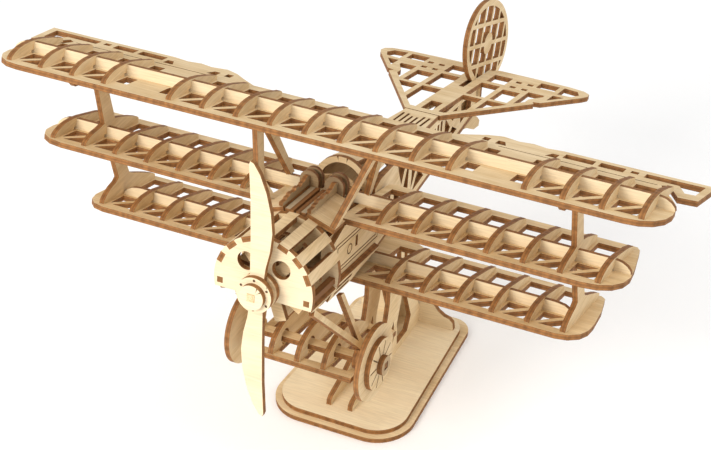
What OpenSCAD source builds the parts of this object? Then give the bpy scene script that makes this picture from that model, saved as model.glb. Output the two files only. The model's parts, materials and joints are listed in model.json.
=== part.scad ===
// Slot-together plywood triplane on a display stand.
// Millimetres. Origin: centre of the stand base's underside. Nose towards -Y, wings along X, +Z up.

/* [Stand] */
// width of the lower base layer
base_w = 57; // [52:1:64]
// depth of the lower base layer
base_l = 83; // [80:1:92]

/* [Propeller] */
// distance from the shaft to each blade tip
blade_r = 47; // [42:0.5:49]
// radius of the propeller's two flange discs
flange_r = 6.5; // [6:0.25:7.5]

/* [Undercarriage] */
// radius of the wheel discs
wheel_r = 14.5; // [12.5:0.25:15.5]

/* [Fit] */
// radial running gap of the shaft and the axle in their bores
running_gap = 0.06; // [0.03:0.01:0.09]

/* [Part] */
// part to show

/* [Hidden] */
// sheet thickness
t = 2;
// depth of the engraved lines
engrave = 0.4;
// rib pitch along the span
pitch = 13;
// spar height above the wing plate
spar_h = 4;
// nose-up angle of the fuselage on its stand
nose_up = 8.5;
// wing setting angle to the fuselage
incidence = 6.5;
// position of the cowl face's centre
cowl_y = -88;
cowl_z = 99;
// front of the top wing's ribs, from the cowl face's centre
wing_y = 25.3;
wing_z = 46.1;
// stagger and drop of the middle and lower wings
mid_y = 10.7;
mid_z = -28.8;
low_y = 26;
low_z = -55.6;
// position of the wheel axle, from the cowl face's centre
axle_y = 38.5;
axle_z = -41;
// shaft and axle radius
shaft_r = 2;
bore_r = shaft_r + running_gap;
// square ends of the shaft and the axle, and the holes they press into
square_w = 2.7;
square_hole = 2.8;
// cowl radius and the height of its cut-off bottom edge
cowl_r = 18.5;
cowl_cut = -4.2;
// slope of the rear fuselage floor
floor_slope = 4.4;
// taper angle of the rear fuselage sides
side_taper = 4.69;

ply = [0.87, 0.75, 0.55];
pale = [0.93, 0.84, 0.66];
dark = [0.72, 0.55, 0.36];

// ---- placing helpers ----

// plate across X, from x to x + thick, drawn in (Y, Z)
module yz(x, thick) {
  translate([x, 0, 0]) rotate([90, 0, 90]) linear_extrude(thick) children();
}

// plate across Y, from y to y + thick, drawn in (X, Z)
module xz(y, thick) {
  translate([0, y + thick, 0]) rotate([90, 0, 0]) linear_extrude(thick) children();
}

// plate across Z, from z to z + thick, drawn in (X, Y)
module xy(z, thick) {
  translate([0, 0, z]) linear_extrude(thick) children();
}

module both() {
  children();
  mirror([1, 0, 0]) children();
}

// frame of the fuselage: origin at the centre of the cowl face
module fuselage() {
  translate([0, cowl_y, cowl_z]) rotate([-nose_up, 0, 0]) children();
}

// frame of the wings: origin at the front of the top wing's ribs, on its plate
module wings() {
  fuselage() translate([0, wing_y, wing_z]) rotate([-incidence, 0, 0]) children();
}

module mid_wing() {
  wings() translate([0, mid_y, mid_z]) children();
}

module low_wing() {
  wings() translate([0, low_y, low_z]) children();
}

// the wing frame drawn flat in the fuselage's (Y, Z) plane
module wings_2d() {
  translate([wing_y, wing_z]) rotate(-incidence) children();
}

module mirrored_2d() {
  children();
  mirror([1, 0]) children();
}

// ---- stand ----

module base_2d(inset, corner) {
  half = base_w / 2 - inset;
  back = base_l / 2 - inset;
  hull() {
    mirrored_2d() translate([half - corner, corner - back]) circle(corner, $fn = 64);
    mirrored_2d() translate([half - 8 - 3, back - 8]) circle(8, $fn = 48);
  }
}

module base_lower() color(ply) xy(0, t) base_2d(0, 15);

module base_upper() color(pale) xy(t, t) difference() {
  base_2d(2.6, 12.5);
  mirrored_2d() translate([3.5, -24]) square([t, 8]);
  mirrored_2d() translate([3.5, 4]) square([t, 12]);
}

// underside of the rear fuselage floor as a half-plane, in the stand's (Y, Z) plane
module above_floor_2d() {
  translate([cowl_y, cowl_z]) rotate(-nose_up) translate([60.2, -11]) rotate(floor_slope)
    translate([0, -t]) square([200, 60]);
}

module upright_2d() {
  difference() {
    union() {
      polygon([
        [-32, 4], [-31.6, 6], [-30, 7.2], [-24, 8.6], [-17, 10.6], [-10, 13.8], [-4.5, 18.4], [-0.5, 24.5],
        [2, 32], [3.2, 42], [3.2, 54], [1.6, 66], [-1, 80], [24, 80], [22, 64], [21.4, 50], [22.2, 38],
        [24.4, 28], [27.6, 19], [31.6, 11], [35, 4]
      ]);
      translate([-24, 2]) square([8, 3]);
      translate([4, 2]) square([12, 3]);
    }
    above_floor_2d();
    polygon([[-8, 7.5], [4, 7.5], [6, 13], [6, 21], [2.5, 17.5], [-3, 12.5]]);
    polygon([[9, 7.5], [19, 7.5], [22.5, 13], [17.5, 27.5], [14.5, 34], [12.8, 27], [9, 18]]);
    polygon([[7.5, 42], [10.5, 37.5], [12.5, 44], [12.5, 60], [9, 69], [6.4, 62]]);
    polygon([[15.5, 44], [18, 38], [18.4, 48], [18.8, 62], [18, 69.5], [15.5, 62]]);
  }
}

module stand_uprights() color(ply) difference() {
  both() yz(3.5, t) upright_2d();
  xz(33 - t, t) translate([-8, 8]) square([16, 30]);
}

module stand_brace() color(pale) xz(33 - t, t) difference() {
  polygon([
    [-20.5, 4], [20.5, 4], [20.2, 7.4], [18.6, 9], [16.4, 9.6], [13.8, 11.4], [11.4, 14.6], [9, 16.6], [6.4, 17.4],
    [-6.4, 17.4], [-9, 16.6], [-11.4, 14.6], [-13.8, 11.4], [-16.4, 9.6], [-18.6, 9], [-20.2, 7.4]
  ]);
  mirrored_2d() translate([3.5, 4]) square([t, 4]);
}

// ---- wing pieces ----

// lightening windows ahead of the spar in the bay that starts at x
module front_windows(x) {
  translate([x, 0]) polygon([[3.4, 2], [11, 2], [11, 11]]);
  translate([x, 0]) polygon([[2, 3.4], [9.4, 12.5], [2, 12.5]]);
}

module rear_window(x, y0, y1) {
  translate([x + 2, y0]) square([pitch - 4, y1 - y0]);
}

// one half of the top wing's plate
module top_half_2d() {
  difference() {
    polygon([
      [0, -2.5], [112, -2.5], [117, -1.6], [121, 1.2], [123.4, 5.4], [124.2, 10.5], [123.8, 15.5], [122.2, 21],
      [119.2, 26.4], [115.2, 31.4], [113.2, 36], [115.6, 37.6], [120.9, 28.2], [127.4, 29.2], [129, 46.9],
      [113, 46.6], [76, 46.6], [70, 45.4], [65, 46.6], [60, 45.4], [54, 46.8], [49, 44.6], [44, 40.6], [38, 36.4], [0, 36]
    ]);
    for (k = [0, 1, 2, 3, 6, 7, 8])
      rear_window(k * pitch, 17.5, 31.5);
    for (x = [54, 71.4]) {
      translate([x, 5]) square([4.6, 7.5]);
      translate([x, 17.5]) square([4.6, 14]);
    }
    translate([48.8, 38.4]) square([2.4, 3.4]);
    polygon([[54, 37.6], [58, 37.6], [56.4, 41.4], [54, 41.4]]);
    polygon([[72, 37.6], [76, 37.6], [76, 41.4], [73.6, 41.4]]);
    translate([77.6, 39.6]) square([10.6, 4.4]);
    translate([90, 39.6]) square([8.8, 4.4]);
    translate([101, 41]) square([2.6, 2.4]);
    polygon([[106, 39.8], [118.3, 39.8], [121.6, 33.8], [125.2, 34.2], [126, 44.2], [106, 43.8]]);
  }
}

module top_plate_2d() {
  difference() {
    mirrored_2d() top_half_2d();
    for (k = [-9, -8, -7, -4, -3, -2, -1, 0, 1, 2, 3, 6, 7, 8])
      front_windows(k * pitch);
  }
}

module top_wing_plate() color(ply) wings() difference() {
  xy(-t, t) top_plate_2d();
  both() xy(-engrave, t) translate([56, 35.4]) square([56, 0.5]);
}

// spar outline with rounded ends at x1 and -x1
module spar_2d(x1) {
  polygon([
    [-x1, 0], [x1, 0], [x1 - 0.3, 1.2], [x1 - 1.6, 2.5], [x1 - 3.6, 3.5], [x1 - 6, 3.9], [x1 - 7.5, spar_h],
    [7.5 - x1, spar_h], [6 - x1, 3.9], [3.6 - x1, 3.5], [1.6 - x1, 2.5], [0.3 - x1, 1.2]
  ]);
}

module spar_slot(x) {
  translate([x - t / 2, spar_h / 2]) square([t, spar_h]);
}

module top_wing_spar() color(pale) wings() xz(14, t) difference() {
  spar_2d(124);
  for (k = [-9 : 9])
    if (abs(k) != 5)
      spar_slot(k * pitch);
}

// rib outline in (Y, Z), with its half-lap for the spar and a relief at the spar's foot
module rib_2d(tail) {
  difference() {
    polygon([
      [0, 0], [0.2, 1], [1.2, 1.8], [2.6, 2.6], [5.4, 3.7], [8.6, 4.3], [12.5, 4.6], [16, 4.5], [20, 4.1],
      [tail - 7, 3.1], [tail - 2.4, 2.1], [tail - 0.5, 1.8], [tail, 1.3], [tail, 0]
    ]);
    spar_lap_2d();
  }
}

module spar_lap_2d() {
  translate([14, 0]) square([t, spar_h / 2]);
  translate([12.5, 0]) square([1.5, 1.2]);
}

module top_wing_ribs() color(ply) wings() for (k = [-9 : 9])
  if (abs(k) != 5)
    yz(k * pitch - t / 2, t) rib_2d(33);

// small lugs under the top wing's leading edge
module wing_lugs() color(ply) wings() both() yz(7 * pitch - t / 2, t)
  polygon([[0.5, -t], [7.5, -t], [7.5, -3.2], [6.3, -4.2], [1.7, -4.2], [0.5, -3.2]]);

module mid_half_2d() {
  difference() {
    polygon([
      [12.5, -1.4], [13.6, -2.5], [99, -2.5], [104.4, -1.4], [108.6, 1.6], [111, 6.2], [111.6, 12], [110.4, 21],
      [107, 38], [105.4, 40.5], [14, 40.5], [12.5, 39]
    ]);
    for (k = [2 : 7])
      rear_window(k * pitch, 17.5, 35.5);
    polygon([[17.4, 2], [24, 2], [24, 9.8]]);
    polygon([[15.6, 3.4], [23.3, 12.5], [15.6, 12.5]]);
    translate([15.6, 17.5]) square([8.4, 18]);
  }
}

module mid_wing_plates() color(ply) mid_wing() xy(-t, t) difference() {
  mirrored_2d() mid_half_2d();
  for (k = [-8, -7, -6, -5, -4, -3, 2, 3, 4, 5, 6, 7])
    front_windows(k * pitch);
}

module mid_wing_spar() color(pale) mid_wing() xz(14, t) difference() {
  spar_2d(111);
  for (k = [2 : 8])
    mirrored_2d() spar_slot(k * pitch);
}

module mid_wing_ribs() color(ply) mid_wing() both() for (k = [2, 3, 4, 5, 6, 8])
  yz(k * pitch - t / 2, t) rib_2d(36.5);

// rib and interplane strut in one piece, up to the top wing's underside
module mid_strut_ribs() color(ply) mid_wing() both() yz(7 * pitch - t / 2, t) difference() {
  polygon([
    [0, 0], [0.2, 1], [1.2, 1.8], [2.6, 2.6], [5.4, 3.7], [8.6, 4.4], [12.2, 5.6], [3.6, -mid_z - t], [9.4, -mid_z - t],
    [19.4, 6], [24, 5.4], [31, 3.9], [35.6, 2.6], [36.5, 2], [36.5, 0]
  ]);
  spar_lap_2d();
}

module low_half_2d() {
  difference() {
    polygon([
      [0, -2.5], [89, -2.5], [93.4, -1.2], [96.6, 2.2], [98, 7], [98, 13], [96.6, 26], [94.2, 37.6], [92.4, 39.4],
      [24, 39.4], [20, 42.2], [12, 44.8], [0, 44.8]
    ]);
    for (k = [2 : 6])
      rear_window(k * pitch, 17.5, 35.5);
    polygon([[17.4, 2], [24, 2], [24, 9.8]]);
    polygon([[15.6, 3.4], [23.3, 12.5], [15.6, 12.5]]);
    translate([15.6, 17.5]) square([8.4, 18]);
  }
}

module low_wing_plate() color(ply) low_wing() xy(-t, t) difference() {
  mirrored_2d() low_half_2d();
  for (k = [-7, -6, -5, -4, -3, 2, 3, 4, 5, 6])
    front_windows(k * pitch);
}

module low_wing_spar() color(pale) low_wing() xz(14, t) difference() {
  spar_2d(90);
  for (k = [2 : 6])
    mirrored_2d() spar_slot(k * pitch);
}

module low_wing_ribs() color(ply) low_wing() both() for (k = [2 : 6])
  yz(k * pitch - t / 2, t) rib_2d(36.5);

// tall tip rib and interplane strut in one piece, up to the middle wing's underside
module low_strut_ribs() color(ply) low_wing() both() yz(7 * pitch - t / 2, t) polygon([
  [0, 0], [0.2, 1.4], [2, 3.2], [5, 5.2], [8, 6.4], [9.6, 8], [0.8, mid_z - low_z - t], [6.8, mid_z - low_z - t],
  [17.2, 8], [20, 7], [26, 5.4], [32, 3.7], [36.4, 2.2], [37, 1.6], [37, 0]
]);

// ---- cowl ----

plank_angles = [23.5, 45.5, 67.5, 90, 112.5, 134.5, 156.5];

module cowl_outline_2d() {
  intersection() {
    circle(cowl_r, $fn = 128);
    translate([-30, cowl_cut]) square([60, 60]);
  }
}

module plank_slots_2d() {
  for (a = plank_angles)
    rotate(a) translate([cowl_r - t, -1.95]) square([6, 3.9]);
}

module cowl_face() color(pale) fuselage() difference() {
  xz(0, t) difference() {
    cowl_outline_2d();
    plank_slots_2d();
    mirrored_2d() translate([6.5, 8.2]) circle(3.4, $fn = 48);
    mirrored_2d() translate([15.1, -2.8]) square([2.2, 2.2]);
  }
  translate([0, -1, 0]) rotate([-90, 0, 0]) cylinder(h = 4, r = bore_r, $fn = 64);
}

module cowl_planks() color(ply) fuselage() for (a = plank_angles)
  xz(0, 21.5) rotate(a) translate([cowl_r - t, -1.95]) square([t, 3.9]);

module cowl_ring() color(ply) fuselage() difference() {
  xz(19.5, t) difference() {
    union() {
      cowl_outline_2d();
      polygon([[-12.4, -13], [12.4, -13], [16.6, -2.9], [-16.6, -2.9]]);
    }
    plank_slots_2d();
    mirrored_2d() translate([5.5, -1]) square([6, 10]);
  }
  translate([0, 18, 0]) rotate([-90, 0, 0]) cylinder(h = 5, r = bore_r, $fn = 64);
}

// lower side panels of the cowl, each with a square tenon through the face
module cowl_lower_panels() color(ply) fuselage() both() {
  translate([18, 0, -4.4]) rotate([0, 32, 0]) yz(-t, t) difference() {
    polygon([[2.2, -0.2], [19.4, -0.2], [19.4, -8.6], [9, -5.4], [2.2, -2]]);
    polygon([[11, -1.8], [17.4, -1.8], [17.4, -3.4], [11, -3]]);
    polygon([[12.4, -4.6], [17.4, -5], [17.4, -6.4], [13.4, -5.6]]);
  }
  xz(0, 19.5) translate([15.1, -2.8]) square([2.2, 2.2]);
}

// ---- fuselage ----

module below_low_wing_2d() {
  wings_2d() translate([low_y - 2.5, low_z - 40]) square([80, 40]);
}

module side_frames() color(ply) fuselage() both() yz(10.5, t) difference() {
  polygon([[21.5, -10.3], [58, -10.3], [58, 12.4], [50.4, 14.2], [31, 14.7], [31, 11.9], [21.5, 11.9]]);
  below_low_wing_2d();
  polygon([[27, -6], [35, -6], [35, 9], [27, 9]]);
  polygon([[38, -6], [54, -6], [54, 7], [38, 9]]);
}

module frame_2d(y0, z0, y1, z1) {
  difference() {
    translate([y0, z0]) square([y1 - y0, z1 - z0]);
    translate([y0 + 0.45, z0 + 0.45]) square([y1 - y0 - 0.9, z1 - z0 - 0.9]);
  }
}

// side panels with an engraved double border, a ring and a slot
module side_panels() color(ply) fuselage() both() difference() {
  yz(12.5, t) difference() {
    polygon([[21.5, -5], [66, -5], [66, 9.4], [31, 13.4], [21.5, 9]]);
    translate([41, 1]) square([1.8, 4.2]);
  }
  yz(12.5 + t - engrave, t) frame_2d(25, -3.4, 60, 8);
  yz(12.5 + t - engrave, t) frame_2d(26.4, -2, 58.6, 6.6);
  yz(12.5 + t - engrave, t) translate([36.4, 2.2]) difference() {
    circle(2, $fn = 48);
    circle(1.5, $fn = 48);
  }
}

module belly_plate() color(ply) fuselage() xy(-13, t) difference() {
  translate([-11.2, 21.5]) square([22.4, 20]);
  translate([-5, 26]) square([10, 4]);
  translate([-5, 33]) square([10, 4]);
}

module belly_panels() color(ply) fuselage() both() translate([16.7, 0, -5]) rotate([0, 20.5, 0]) yz(-t, t)
  difference() {
    polygon([[21.6, -0.6], [57.6, -0.6], [57.6, -1.4], [44, -5.6], [41, -7.6], [21.6, -7.6]]);
    polygon([[25, -2.2], [37, -2.2], [37, -3.8], [25, -3.8]]);
    polygon([[25, -5.2], [37, -5.2], [37, -6.6], [25, -6.6]]);
  }

module gun_deck() color(ply) fuselage() xy(15.6, t) difference() {
  translate([-3.9, 21.5]) square([7.8, 25]);
  translate([-0.8, 24]) square([1.6, 18]);
}

// sloping deck panels beside the guns, cut back round the middle wing's root
module deck_sides() color(ply) fuselage() both() translate([4.6, 0, 19.6]) rotate([0, 18, 0]) xy(-t, t)
  difference() {
    polygon([[0, 21.5], [11.2, 21.5], [11.2, 29.4], [7.6, 29.4], [7.6, 41.4], [0, 41.4]]);
    translate([8.4, 26.4]) square([1.6, 1.6]);
  }

// gun wall with a toothed top edge
module gun_wall_2d() {
  polygon([
    [21.5, 19.62], [41.6, 19.62], [41.6, 23.2], [40, 23.6], [38.6, 23], [37.6, 22.4], [36, 22.4], [35.6, 21.8], [33.6, 21.8],
    [33.2, 22.4], [31.4, 22.4], [31, 21.8], [29, 21.8], [28.6, 22.2], [26.8, 22.2], [26.4, 21.6], [24.6, 21.6],
    [24.2, 21], [21.5, 21]
  ]);
}

// toothed outer walls and low inner walls of the two gun channels
module gun_walls() color(dark) fuselage() both() {
  yz(4.6, 1.5) gun_wall_2d();
  yz(0.5, 1.5) translate([21.5, 17.6]) square([20.1, 1.6]);
}

module gun_floors() color(pale) fuselage() both() xy(17.6, 1.5) translate([2, 22]) square([1.9, 19.6]);

module gun_backs() color(dark) fuselage() both() for (y = [41.6, 45])
  xz(y, 1.5) translate([4.8, 0]) union() {
    translate([-3.6, 17.6]) square([7.2, 3.4]);
    translate([0, 21.3]) circle(3.6, $fn = 48);
  }

module cabane_struts() color(ply) difference() {
  fuselage() both() translate([12.6, 0, 14.9]) rotate([0, 18, 0]) yz(0, t) polygon([
    [21.6, 2.02], [24.9, 2.02], [37.4, 27.5], [46.2, 4.65], [49, 4.65], [41.4, 32], [34.2, 32]
  ]);
  wings() translate([-40, -10, -t]) cube([80, 60, 20]);
}

// ---- cockpit and rear fuselage ----

module cockpit_hoop() color(ply) fuselage() xz(58, t) difference() {
  union() {
    translate([0, 14.4]) circle(10.4, $fn = 96);
    translate([-10.4, -9.4]) square([20.8, 23.8]);
  }
  translate([0, 14.4]) circle(8.2, $fn = 96);
  translate([-8.2, -1]) square([16.4, 15.4]);
}

module seat_back() color(pale) fuselage() xy(-1, 19) difference() {
  translate([0, 50.2]) circle(7.6, $fn = 96);
  translate([0, 50.2]) circle(6.4, $fn = 96);
  translate([-20, 30]) square([40, 21.6]);
}

module cockpit_floor() color(ply) fuselage() xy(-3, t) translate([-10.4, 49.4]) square([20.8, 8.5]);

module turtle_deck() color(ply) fuselage() {
  translate([0, 60.2, 23.6]) rotate([-11, 0, 0]) xy(-t, t) difference() {
    polygon([[-5, 0.3], [5, 0.3], [3.8, 36], [-3.8, 36]]);
    translate([-1, 8]) square([2, 20]);
  }
  both() translate([5.4, 60.2, 23.4]) rotate([-11, 0, 0]) rotate([0, 44, 0]) xy(-t, t)
    polygon([[1.8, 0.8], [7, 1.5], [4.2, 18], [2.3, 36], [-0.2, 36]]);
}

module rear_deck() color(ply) fuselage() translate([0, 96.8, 15.6]) rotate([-3.2, 0, 0]) xy(0, t) difference() {
  polygon([[-9.2, 0], [9.2, 0], [6.8, 32.8], [-6.8, 32.8]]);
  for (x = [-6, -3.6, -1.2, 1.2, 3.6, 6])
    translate([x * 0.9 - 0.45, 4.2]) square([0.9, abs(x) < 2 ? 22 : 24]);
}

// lattice side, drawn in (Y, Z) from the cockpit hoop back to the tail
module rear_side_2d() {
  difference() {
    polygon([
      [60.2, 14.6], [66, 16.2], [96.8, 15.6], [130, 13.75], [183, 9], [183, -1.6], [61.6, -10.9], [61.4, -9.2],
      [60.2, -9.2]
    ]);
    polygon([[66, -8], [78, -7], [78, 8]]);
    polygon([[82, 5], [82, -6.6], [88.4, -0.8]]);
    polygon([[84.4, 13.6], [95.6, 13.6], [90, 3.4]]);
    polygon([[84.4, -7], [97, -6], [90.4, -2.4]]);
    polygon([[98, 12], [98, -3.4], [92.4, 0.2]]);
    polygon([[102, 11], [102, -3.6], [107.6, 4.4]]);
    polygon([[104, 12.8], [117, 12.2], [110, 6.2]]);
    polygon([[104, -5.2], [117, -4], [110, 2.4]]);
    polygon([[119, 11.4], [119, -2.4], [112.6, 4.4]]);
    for (y = [122.4, 126.6, 130.8, 135])
      polygon([[y, -3.8 + (y - 122) * 0.08], [y + 2.2, -3.6 + (y - 122) * 0.08], [y + 2.2, 11], [y, 11.2]]);
    polygon([[141, 10.2], [141, -1.6], [148, 4]]);
    polygon([[144, 10.4], [158, 9], [151.4, 5.2]]);
    polygon([[144, -2], [158, -0.8], [151.4, 2.8]]);
    polygon([[162, 8.6], [162, 0], [176, 1.2], [176, 7.4]]);
  }
}

module rear_sides() color(ply) fuselage() both() translate([12.4, 60, 0]) rotate([0, 0, side_taper])
  translate([0, -60, 0]) yz(-t, t) rear_side_2d();

module rear_floor() color(ply) fuselage() translate([0, 60.2, -11]) rotate([floor_slope, 0, 0]) xy(-t, t)
  difference() {
    polygon([[-11.9, 1.3], [11.9, 1.3], [2.6, 122], [-2.6, 122]]);
    translate([-4, 8]) square([8, 16]);
    translate([-3, 58]) square([6, 14]);
    translate([-2, 78]) square([4, 16]);
  }

module tail_formers() color(ply) fuselage() {
  xz(96.8, t) difference() {
    translate([-6.9, -7.9]) square([13.8, 23.2]);
    translate([-4.6, -5]) square([9.2, 18]);
  }
  xz(127.6, t) difference() {
    translate([-4.5, -5.4]) square([9, 19]);
    translate([-2.6, -3]) square([5.2, 13.4]);
  }
  xz(183.2, t) translate([-3.6, -1.6]) square([7.2, 10.2]);
}

// ---- tail ----

module tail_half_2d() {
  difference() {
    polygon([
      [0, 0], [7.4, 0], [31.6, 39], [30.4, 41.2], [33.4, 42], [45, 60.4], [46.2, 63.4], [45.8, 66.6], [43, 69],
      [36, 70.4], [22, 71], [5, 71.2], [2.6, 69], [0, 69]
    ]);
    polygon([[4.8, 4.4], [7.2, 4.4], [12.9, 13.6], [12.9, 30.4], [4.8, 30.4]]);
    polygon([[15.1, 17.2], [23.3, 30.4], [15.1, 30.4]]);
    translate([4.8, 32.8]) square([8.1, 18]);
    translate([15.1, 32.8]) square([7.4, 15.4]);
    polygon([[24.8, 34], [27.9, 39], [27.9, 43], [31.6, 50], [31.6, 52], [24.8, 52]]);
    translate([5.6, 54]) square([7.8, 10.4]);
    polygon([[34.2, 47], [39, 54.8], [34.2, 54.8]]);
    polygon([[35, 57.6], [41, 58.2], [42.8, 62.4], [41, 66.4], [35, 67.4]]);
    translate([25, 60]) square([8, 7.2]);
    for (y = [52.6, 60])
      for (x = [16, 21])
        translate([x, y]) square([2.4, 2.4]);
  }
}

module tailplane() color(ply) fuselage() translate([0, 130, 13.8]) rotate([-5.1, 0, 0]) xy(0, t) difference() {
  mirrored_2d() tail_half_2d();
  translate([-2.4, 4]) square([4.8, 11]);
  translate([-1.1, 40]) square([2.2, 40]);
}

module rudder_2d(grow) {
  translate([194.4, 23]) rotate(-28) scale([25.2 + grow, 18 + grow]) circle(1, $fn = 96);
}

module rudder_bars_2d() {
  translate([194.4, 23]) rotate(-12) {
    for (d = [-17, -8.5, 0, 8.5, 17]) {
      translate([d - 0.85, -30]) square([1.7, 60]);
      translate([-30, d - 0.85]) square([60, 1.7]);
    }
    circle(4.6, $fn = 48);
  }
}

module rudder() color(ply) fuselage() yz(-t / 2, t) difference() {
  union() {
    difference() {
      rudder_2d(0);
      rudder_2d(-2.6);
    }
    intersection() {
      rudder_2d(-1);
      rudder_bars_2d();
    }
  }
  polygon([[160, -20], [185.4, -20], [185.4, 9.1], [178, 9.8], [160, 11.6]]);
}

module tail_skid() color(ply) fuselage() yz(-t / 2, t) difference() {
  polygon([[166, 0], [182, 0], [184, -5], [190, -8.4], [193, -11], [192.6, -13.4], [187, -13], [178, -9], [168, -7]]);
  translate([60.2, -11]) rotate(floor_slope) translate([0, -t]) square([126, 20]);
}

// ---- undercarriage ----

module gear_vees() color(ply) fuselage() both() translate([12.9, 0, -11.2]) rotate([0, -14.5, 0]) yz(0, t)
  polygon([
    [9.2, -0.4], [10.8, 1.2], [36, -22.7], [29.7, -2.2], [32.1, -2.2], [39.1, -24.7], [39.4, -26], [36.2, -26],
    [35.6, -25.4]
  ]);

module axle_hangers() color(pale) fuselage() both() difference() {
  yz(19, t) union() {
    translate([axle_y, axle_z]) circle(4.2, $fn = 64);
    translate([axle_y - 2.4, axle_z]) square([4.8, 4.4]);
  }
  translate([18, axle_y, axle_z]) rotate([0, 90, 0]) cylinder(h = 4, r = bore_r, $fn = 64);
}

module axle_wing_plate() color(ply) fuselage() xy(-45.9, t) difference() {
  translate([-21.6, 28.5]) square([43.2, 39]);
  mirrored_2d() translate([1.4, 32.6]) square([7.7, 30.6]);
  mirrored_2d() translate([11.9, 32.6]) square([6.5, 30.6]);
  mirrored_2d() translate([17, 33.6]) square([6, 9.8]);
}

module axle_wing_ribs() color(ply) fuselage() for (x = [-10.5, 0, 10.5])
  yz(x - t / 2, t) difference() {
    polygon([
      [28.9, -43.9], [29.4, -41.6], [31.3, -38.5], [34.4, -36.5], [37.6, -35.2], [41, -34.5], [45, -34.3], [50, -34.9],
      [56, -36.9], [61, -39.6], [64.8, -42.2], [66, -43.9]
    ]);
    translate([axle_y, axle_z]) circle(2.95, $fn = 48);
  }

module axle() color(pale) fuselage() translate([0, axle_y, axle_z]) {
  translate([-18.8, -2.3, -1]) cube([37.6, 4.6, 2]);
  both() translate([18.6, 0, 0]) rotate([0, 90, 0]) cylinder(h = 4.2, r = shaft_r, $fn = 64);
  both() translate([22.8, -square_w / 2, -square_w / 2]) cube([7.6, square_w, square_w]);
}

module square_hole_2d() {
  translate([-square_hole / 2, -square_hole / 2]) square(square_hole);
}

module wheel_layer(x, r) {
  fuselage() both() translate([0, axle_y, axle_z]) yz(x, t) difference() {
    circle(r, $fn = 96);
    square_hole_2d();
  }
}

module wheel_discs() color(ply) wheel_layer(24.6, wheel_r);

// raised inner discs with ten engraved spokes
module wheel_spoke_discs() color(pale) difference() {
  wheel_layer(24.6 + t, wheel_r - 4.6);
  fuselage() both() translate([0, axle_y, axle_z]) yz(24.6 + 2 * t - engrave, t)
    for (a = [0 : 36 : 324])
      rotate(a) translate([4, -0.25]) square([wheel_r - 9.6, 0.5]);
}

module wheel_hubs() color(dark) wheel_layer(24.6 + 2 * t, 3.7);

// ---- propeller and engine ----

module prop_disc(y, thick, r) {
  fuselage() xz(y, thick) difference() {
    circle(r, $fn = 96);
    square_hole_2d();
  }
}

module prop_shaft() color(pale) fuselage() {
  translate([-square_w / 2, -8.9, -square_w / 2]) cube([square_w, 8.4, square_w]);
  translate([0, -0.5, 0]) rotate([-90, 0, 0]) cylinder(h = 24.4, r = shaft_r, $fn = 64);
}

module prop_flange_back() color(ply) prop_disc(-2.6, t, flange_r);

module blade_half_2d() {
  k = blade_r / 47;
  polygon([
    [-2.6, -1], [-2.6, 6], [-2.9, 20 * k], [-3.5, 34 * k], [-4.5, 45.8 * k], [-4.1, blade_r], [-2.8, 46.4 * k],
    [-0.4, 43 * k], [2.2, 37 * k], [4.1, 30 * k], [4.9, 23 * k], [4.3, 16 * k], [3, 10], [2.6, 6], [2.6, -1]
  ]);
}

module prop_blade() color(pale) fuselage() xz(-4.6, t) difference() {
  union() {
    blade_half_2d();
    rotate(180) blade_half_2d();
  }
  square_hole_2d();
}

// front flange with six small engraved dots
module prop_flange_front() color(pale) difference() {
  prop_disc(-6.6, t, flange_r);
  fuselage() for (a = [30 : 60 : 330])
    rotate([0, a, 0]) translate([flange_r - 1, -7, 0]) rotate([-90, 0, 0]) cylinder(h = 0.4 + engrave, r = 0.5, $fn = 32);
}

module prop_cap() color(pale) prop_disc(-8.6, t, 4.5);

module shaft_collar() color(ply) fuselage() difference() {
  xz(21.9, t) circle(4, $fn = 64);
  translate([0, 21, 0]) rotate([-90, 0, 0]) cylinder(h = 4, r = shaft_r, $fn = 64);
}

module star_2d() {
  difference() {
    union() {
      circle(7, $fn = 96);
      for (k = [0 : 8])
        rotate(10 + k * 40) translate([0, -2.2]) square([14.6, 4.4]);
    }
    circle(shaft_r, $fn = 64);
  }
}

// nine-armed star plates of the rotary engine
module engine_stars() color(ply) fuselage() for (y = [4.5, 12.5])
  xz(y, t) star_2d();

// cylinder plates between the two stars
module engine_fins() color(pale) fuselage() for (k = [0 : 8])
  xz(4.5 + t, 6) rotate(10 + k * 40) translate([5, -1.5]) square([9.2, 3]);

// ---- what is drawn ----

base_lower();
base_upper();
stand_uprights();
stand_brace();
top_wing_plate();
top_wing_spar();
top_wing_ribs();
wing_lugs();
mid_wing_plates();
mid_wing_spar();
mid_wing_ribs();
mid_strut_ribs();
low_wing_plate();
low_wing_spar();
low_wing_ribs();
low_strut_ribs();
cowl_face();
cowl_planks();
cowl_ring();
cowl_lower_panels();
side_frames();
side_panels();
belly_plate();
belly_panels();
gun_deck();
deck_sides();
gun_walls();
gun_floors();
gun_backs();
cabane_struts();
cockpit_hoop();
seat_back();
cockpit_floor();
turtle_deck();
rear_deck();
rear_sides();
rear_floor();
tail_formers();
tailplane();
rudder();
tail_skid();
gear_vees();
axle_hangers();
axle_wing_plate();
axle_wing_ribs();
axle();
wheel_discs();
wheel_spoke_discs();
wheel_hubs();
prop_shaft();
prop_flange_back();
prop_blade();
prop_flange_front();
prop_cap();
shaft_collar();
engine_stars();
engine_fins();
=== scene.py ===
import json
import math

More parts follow.
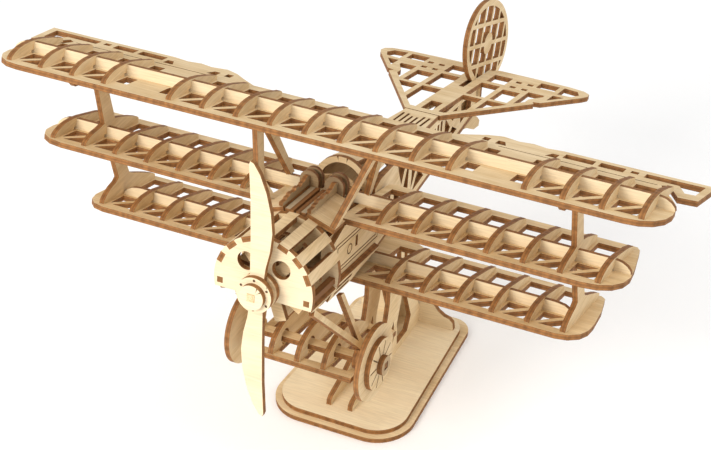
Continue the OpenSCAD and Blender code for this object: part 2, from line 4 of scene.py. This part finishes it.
import bpy
from mathutils import Euler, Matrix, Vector

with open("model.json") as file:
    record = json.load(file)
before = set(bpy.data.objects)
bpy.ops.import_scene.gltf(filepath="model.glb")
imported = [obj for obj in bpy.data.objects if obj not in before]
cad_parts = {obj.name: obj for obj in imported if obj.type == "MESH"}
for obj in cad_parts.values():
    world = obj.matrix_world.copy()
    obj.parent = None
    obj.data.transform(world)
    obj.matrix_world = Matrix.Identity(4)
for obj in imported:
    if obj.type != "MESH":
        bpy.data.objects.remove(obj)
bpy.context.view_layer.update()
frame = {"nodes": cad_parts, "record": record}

MM_PER_M = 1000.0
MM2_PER_M2 = 1e6


# ---- node helpers ----

class Graph:
    """Short calls for building a node tree."""

    def __init__(self, tree):
        self.tree = tree

    def node(self, kind, inputs=None, **settings):
        made = self.tree.nodes.new(kind)
        for name, value in settings.items():
            setattr(made, name, value)
        for key, value in (inputs or {}).items():
            self.put(made.inputs[key], value)
        return made

    def put(self, socket, value):
        if isinstance(value, bpy.types.NodeSocket):
            self.tree.links.new(value, socket)
        else:
            socket.default_value = value

    def math(self, operation, a, b=0.0):
        return self.node("ShaderNodeMath", {0: a, 1: b}, operation=operation).outputs[0]

    def invert(self, a):
        return self.math("SUBTRACT", 1.0, a)

    def vector(self, operation, a, b=None):
        made = self.node("ShaderNodeVectorMath", {0: a}, operation=operation)
        if b is not None:
            self.put(made.inputs[1], b)
        return made.outputs["Value"] if operation == "DOT_PRODUCT" else made.outputs[0]

    def scale(self, a, factor):
        made = self.node("ShaderNodeVectorMath", {0: a, "Scale": factor}, operation="SCALE")
        return made.outputs[0]

    def combine(self, x, y, z=0.0):
        return self.node("ShaderNodeCombineXYZ", {0: x, 1: y, 2: z}).outputs[0]

    def split(self, a):
        return self.node("ShaderNodeSeparateXYZ", {0: a}).outputs

    def ramp(self, value, low, high, to_low=0.0, to_high=1.0, smooth=True):
        ends = {"From Min": low, "From Max": high, "To Min": to_low, "To Max": to_high}
        made = self.node(
            "ShaderNodeMapRange", {"Value": value, **ends},
            interpolation_type="SMOOTHSTEP" if smooth else "LINEAR",
        )
        return made.outputs["Result"]

    def noise(self, where, stretch, scale, detail, rough=0.5):
        if stretch:
            where = self.vector("MULTIPLY", where, stretch)
        inputs = {"Vector": where, "Scale": scale, "Detail": detail, "Roughness": rough}
        return self.node("ShaderNodeTexNoise", inputs).outputs["Fac"]

    def mix(self, factor, a, b, blend="MIX"):
        made = self.node("ShaderNodeMix", data_type="RGBA", blend_type=blend)
        self.put(made.inputs[0], factor)
        self.put(made.inputs[6], a)
        self.put(made.inputs[7], b)
        return made.outputs[2]

    def stored(self, name):
        return self.node("ShaderNodeAttribute", attribute_name=name).outputs["Vector"]


# ---- sheets: which surfaces are veneer, which are cut edges, and how deep they lie ----

WELD_DISTANCE = 2e-6            # m
NORMAL_GUESS = (0.62, 0.35, 0.7)
NORMAL_ROUNDS = 10              # rounds of power iteration on the sum of area x normal x normal
VENEER_LEAN = 0.9               # |cosine| with the sheet's normal above which a face is veneer
EDGE_LEAN = (0.45, 0.95)        # |cosine| at which a surface looks fully cut, and fully veneer
SIDEWAYS_LEAN = 0.7             # |x| of the normal above which a sheet stands across the span
GUIDE_RISE = 0.02               # slight upward lean of the direction that the grain follows


def sheet_reader():
    """Geometry nodes that find each sheet's own plane and store the place of every corner in it.

    sheet = (1 on a cut edge, depth from the mid-plane in mm, a number for the sheet)
    grain = (along, across, depth) in mm
    """
    tree = bpy.data.node_groups.new("sheet_reader", "GeometryNodeTree")
    for way in ("INPUT", "OUTPUT"):
        tree.interface.new_socket("Geometry", in_out=way, socket_type="NodeSocketGeometry")
    g = Graph(tree)
    start, end = g.node("NodeGroupInput"), g.node("NodeGroupOutput")
    welded = g.node(
        "GeometryNodeMergeByDistance", {"Geometry": start.outputs[0], "Distance": WELD_DISTANCE}
    ).outputs[0]
    normal = g.node("GeometryNodeInputNormal").outputs["Normal"]
    area = g.math("MULTIPLY", g.node("GeometryNodeInputMeshFaceArea").outputs[0], MM2_PER_M2)
    place = g.scale(g.node("GeometryNodeInputPosition").outputs[0], MM_PER_M)
    sheet = g.node("GeometryNodeInputMeshIsland").outputs["Island Index"]

    def total(value, kind):
        """Sum of a face value over the sheet."""
        made = g.node("GeometryNodeAccumulateField", data_type=kind, domain="FACE")
        g.put([s for s in made.inputs if s.enabled][0], value)
        g.put(made.inputs["Group ID"], sheet)
        return [s for s in made.outputs if s.enabled and s.name == "Total"][0]

    # First guess at the sheet's normal, from all its faces.
    parts = g.split(normal)
    weighted = g.scale(normal, area)
    columns = [total(g.scale(weighted, parts[k]), "FLOAT_VECTOR") for k in range(3)]
    weights = NORMAL_GUESS
    for _ in range(NORMAL_ROUNDS):
        terms = [g.scale(columns[k], weights[k]) for k in range(3)]
        summed = g.vector("ADD", g.vector("ADD", terms[0], terms[1]), terms[2])
        across = g.vector("NORMALIZE", summed)
        weights = g.split(across)

    # Then the normal, and the middle of the sheet, from its veneer faces alone.
    lean = g.vector("DOT_PRODUCT", normal, across)
    veneer = g.math("GREATER_THAN", g.math("ABSOLUTE", lean), VENEER_LEAN)
    share = g.math("MULTIPLY", veneer, area)
    signed = g.math("MULTIPLY", g.math("SIGN", lean), share)
    across = g.vector("NORMALIZE", total(g.scale(normal, signed), "FLOAT_VECTOR"))
    height = g.vector("DOT_PRODUCT", place, across)
    moment = total(g.math("MULTIPLY", height, share), "FLOAT")
    middle = g.math("DIVIDE", moment, total(share, "FLOAT"))
    depth = g.math("SUBTRACT", height, middle)

    # The grain runs along the span, or along the fuselage in a sheet that stands across the span.
    across_x = g.math("ABSOLUTE", g.split(across)[0])
    sideways = g.math("GREATER_THAN", across_x, SIDEWAYS_LEAN)
    guide = g.combine(g.invert(sideways), sideways, GUIDE_RISE)
    out_of_plane = g.scale(across, g.vector("DOT_PRODUCT", guide, across))
    along = g.vector("NORMALIZE", g.vector("SUBTRACT", guide, out_of_plane))
    beside = g.vector("CROSS_PRODUCT", across, along)

    draw = g.node("FunctionNodeRandomValue", data_type="FLOAT")
    g.put(draw.inputs["ID"], sheet)
    number = [s for s in draw.outputs if s.enabled][0]
    facing = g.math("ABSOLUTE", g.vector("DOT_PRODUCT", normal, across))
    edge = g.invert(g.ramp(facing, *EDGE_LEAN))
    far_along = g.vector("DOT_PRODUCT", place, along)
    far_beside = g.vector("DOT_PRODUCT", place, beside)
    facts = {
        "sheet": g.combine(edge, depth, number),
        "grain": g.combine(far_along, far_beside, depth),
    }
    shape = welded
    for name, value in facts.items():
        store = g.node(
            "GeometryNodeStoreNamedAttribute", {"Geometry": shape, "Name": name},
            data_type="FLOAT_VECTOR", domain="CORNER",
        )
        g.put([s for s in store.inputs if s.enabled and s.name == "Value"][0], value)
        shape = store.outputs[0]
    g.put(end.inputs[0], shape)
    return tree


# ---- materials ----

FACE = (0.80, 0.61, 0.36, 1)
EARLY = (0.67, 0.47, 0.24, 1)
PALE = (0.82, 0.68, 0.45, 1)
PALE_EARLY = (0.78, 0.62, 0.40, 1)
BROWN = (0.45, 0.27, 0.12, 1)
PATCH = (0.95, 0.8, 0.56, 1)
SCORCH = (0.12, 0.045, 0.013, 1)
LAYERS = (0.37, 0.165, 0.05, 1)
ROD_FACE = (0.80, 0.60, 0.36, 1)
ROD_DARK = (0.62, 0.41, 0.2, 1)

# Each noise: stretch (along the grain, across it, in depth), scale, detail, roughness.
FIBRES = ((0.045, 1.0, 1.0), 2.6, 4.0, 0.6)
BANDS = ((0.02, 0.28, 0.28), 1.0, 3.0, 0.55)
FLECKS = ((0.12, 1.6, 1.6), 1.9, 2.0, 0.5)
PATCHES = (None, 0.06, 2.0, 0.5)
STREAKS = ((0.5, 0.5, 0.3), 1.0, 3.0, 0.5)
ROD_FIBRES = ((1.0, 0.2, 1.0), 2.2, 3.0, 0.5)

# Each ramp: the value it starts and ends at, then what it gives there if not 0 and 1.
BAND_RAMP = (0.3, 0.72)
FIBRE_RAMP = (0.34, 0.7, 0.0, 0.55)
FLECK_RAMP = (0.66, 0.8)
PATCH_RAMP = (0.35, 0.7, 0.0, 0.22)
STREAK_RAMP = (0.25, 0.75, 0.35, 1.0)
TONE_RAMP = (0.0, 1.0, 0.9, 1.04)
GLOSS_RAMP = (0.3, 0.7)
ROUGH = (0.62, 0.78)
ROD_RAMP = (0.3, 0.72)
ROD_ROUGH = (0.6, 0.75)

# Depths from the mid-plane in mm. The faces of a 2 mm sheet lie at 1 mm.
CORE_DEPTH = (0.26, 0.42)
ENGRAVED_DEPTH = (0.66, 0.86)
RIM_DEPTH = (0.82, 1.0)

# How strongly each mark shows.
FLECK_SHARE, ENGRAVED_SHARE, CORE_SHARE, RIM_SHARE = 0.5, 0.8, 0.3, 0.75
# Multipliers of the early wood's colour, then of the scorch colour.
FIBRE_SHADE, FLECK_SHADE = 0.74, 0.5
ENGRAVED_SHADE, CORE_SHADE, RIM_SHADE, TOAST_SHADE = 0.45, 0.42, 0.55, 0.4

SHEET_SHIFT = (400.0, 90.0)     # mm, moves the grain between one sheet and the next
FIBRE_RELIEF, STREAK_RELIEF = 0.6, 0.7
SPECULAR = 0.28
TOAST = 0.25


def shade(colour, factor):
    return tuple(c * factor for c in colour[:3]) + (1,)


def new_material(name):
    """A material, the helper for its nodes, and its shader."""
    made = bpy.data.materials.new(name)
    made.use_nodes = True
    return made, Graph(made.node_tree), made.node_tree.nodes["Principled BSDF"]


def add_relief(g, shader, height, strength, distance):
    inputs = {"Strength": strength, "Distance": distance, "Height": height}
    g.put(shader.inputs["Normal"], g.node("ShaderNodeBump", inputs).outputs[0])


def plywood(name, face, early, darken=0.0):
    """Laser-cut plywood: a veneer with fine grain on its faces, burnt cut edges that show the plies."""
    made, g, shader = new_material(name)
    edge, depth, number = g.split(g.stored("sheet"))
    from_middle = g.math("ABSOLUTE", depth)
    shift = g.combine(*(g.math("MULTIPLY", number, step) for step in SHEET_SHIFT))
    where = g.vector("ADD", g.stored("grain"), shift)
    fibres = g.noise(where, *FIBRES)
    bands = g.noise(where, *BANDS)
    flecks = g.ramp(g.noise(where, *FLECKS), *FLECK_RAMP)
    patches = g.noise(where, *PATCHES)
    streaks = g.noise(where, *STREAKS)

    veneer = g.mix(g.ramp(bands, *BAND_RAMP), face, early)
    veneer = g.mix(g.ramp(fibres, *FIBRE_RAMP), veneer, shade(early, FIBRE_SHADE))
    veneer = g.mix(g.math("MULTIPLY", flecks, FLECK_SHARE), veneer, shade(early, FLECK_SHADE))
    veneer = g.mix(g.ramp(patches, *PATCH_RAMP), veneer, PATCH)
    tone = g.ramp(number, *TONE_RAMP, smooth=False)
    veneer = g.mix(1.0, veneer, g.combine(tone, tone, tone), "MULTIPLY")

    # The laser leaves engraved floors dark, and they lie below the face.
    engraved = g.math("MULTIPLY", g.invert(g.ramp(from_middle, *ENGRAVED_DEPTH)), ENGRAVED_SHARE)
    veneer = g.mix(engraved, veneer, shade(SCORCH, ENGRAVED_SHADE))

    # Cut edges: brown, streaked by the laser, darker in the middle ply and at both rims.
    core = g.math("MULTIPLY", g.invert(g.ramp(from_middle, *CORE_DEPTH)), CORE_SHARE)
    rim = g.math("MULTIPLY", g.ramp(from_middle, *RIM_DEPTH), RIM_SHARE)
    cut = g.mix(g.ramp(streaks, *STREAK_RAMP), SCORCH, LAYERS)
    cut = g.mix(core, cut, shade(SCORCH, CORE_SHADE))
    cut = g.mix(rim, cut, shade(SCORCH, RIM_SHADE))

    colour = g.mix(edge, veneer, cut)
    if darken:
        colour = g.mix(darken, colour, shade(SCORCH, TOAST_SHADE))
    g.put(shader.inputs["Base Color"], colour)
    g.put(shader.inputs["Roughness"], g.ramp(fibres, *GLOSS_RAMP, *ROUGH))
    g.put(shader.inputs["Specular IOR Level"], SPECULAR)
    on_faces = g.math("MULTIPLY", fibres, FIBRE_RELIEF)
    on_edges = g.math("MULTIPLY", streaks, g.math("MULTIPLY", edge, STREAK_RELIEF))
    add_relief(g, shader, g.math("ADD", on_faces, on_edges), strength=0.22, distance=0.00012)
    return made


def dowel(name, colour, dark):
    """Plain wood with no cut edges, its grain along the object's own Y axis."""
    made, g, shader = new_material(name)
    where = g.scale(g.node("ShaderNodeTexCoord").outputs["Object"], MM_PER_M)
    fibres = g.noise(where, *ROD_FIBRES)
    g.put(shader.inputs["Base Color"], g.mix(g.ramp(fibres, *ROD_RAMP), colour, dark))
    g.put(shader.inputs["Roughness"], g.ramp(fibres, *GLOSS_RAMP, *ROD_ROUGH))
    add_relief(g, shader, fibres, strength=0.2, distance=0.0001)
    return made


common = plywood("plywood", FACE, EARLY)
bright = plywood("pale_plywood", PALE, PALE_EARLY)
toasted = plywood("toasted_plywood", EARLY, BROWN, darken=TOAST)
rod = dowel("dowel", ROD_FACE, ROD_DARK)

RODS = ("prop_shaft", "shaft_collar", "seat_back")
TOASTED = ("gun_backs", "wheel_hubs")
PALE_NODES = {s["node"] for s in frame["record"]["subparts"] if s["material_slot"] == "pale_ply"}


def material_of(name):
    if name in RODS:
        return rod
    if name in TOASTED:
        return toasted
    return bright if name in PALE_NODES else common


reader = sheet_reader()
for name, piece in frame["nodes"].items():
    for slot in piece.material_slots:
        slot.material = material_of(name)
    if name not in RODS:
        piece.modifiers.new("sheets", "NODES").node_group = reader


# ---- floor, light and camera ----

FLOOR_HALF = 6.0                # m
LAMP_TARGET = (0, 0, 0.08)
WORLD_STRENGTH = 0.78


def plain_floor():
    mesh = bpy.data.meshes.new("floor")
    corners = [(x * FLOOR_HALF, y * FLOOR_HALF, 0) for x, y in ((-1, -1), (1, -1), (1, 1), (-1, 1))]
    mesh.from_pydata(corners, [], [(0, 1, 2, 3)])
    floor = bpy.data.objects.new("floor", mesh)
    bpy.context.scene.collection.objects.link(floor)
    made, g, shader = new_material("floor_white")
    g.put(shader.inputs["Base Color"], (1.0, 1.0, 1.0, 1))
    g.put(shader.inputs["Roughness"], 0.9)
    g.put(shader.inputs["Specular IOR Level"], 0.0)
    mesh.materials.append(made)


def soft_lamp(name, place, size, power, tint=(1, 1, 1)):
    """Square lamp of a size in metres and a power in watts."""
    data = bpy.data.lights.new(name, "AREA")
    data.shape = "SQUARE"
    data.size = size
    data.energy = power
    data.color = tint
    lamp = bpy.data.objects.new(name, data)
    lamp.location = place
    aim = Vector(LAMP_TARGET) - Vector(place)
    lamp.rotation_euler = aim.to_track_quat("-Z", "Y").to_euler()
    bpy.context.scene.collection.objects.link(lamp)


plain_floor()
world = bpy.data.worlds.new("studio")
world.use_nodes = True
background = world.node_tree.nodes["Background"]
background.inputs["Color"].default_value = (1, 1, 1, 1)
background.inputs["Strength"].default_value = WORLD_STRENGTH
bpy.context.scene.world = world
bpy.context.scene.view_settings.view_transform = "Standard"
soft_lamp("key", (-0.25, -0.8, 0.55), size=0.4, power=6.3, tint=(1.0, 0.97, 0.93))
soft_lamp("fill", (0.7, 0.1, 0.8), size=0.6, power=2.0)

camera_data = bpy.data.cameras.new("camera")
camera_data.sensor_width = 36.0
camera_data.lens = 94.286
camera_data.shift_x = 0.00085
camera_data.shift_y = 0.00293
camera_data.clip_start = 0.01
camera_data.clip_end = 30.0
camera = bpy.data.objects.new("camera", camera_data)
camera.location = (0.24327, -0.52237, 0.46716)
camera_turn = (55.3025, 0.2238, 25.5659)    # degrees
camera.rotation_euler = Euler([math.radians(angle) for angle in camera_turn])
bpy.context.scene.collection.objects.link(camera)
bpy.context.scene.camera = camera

bpy.context.view_layer.update()
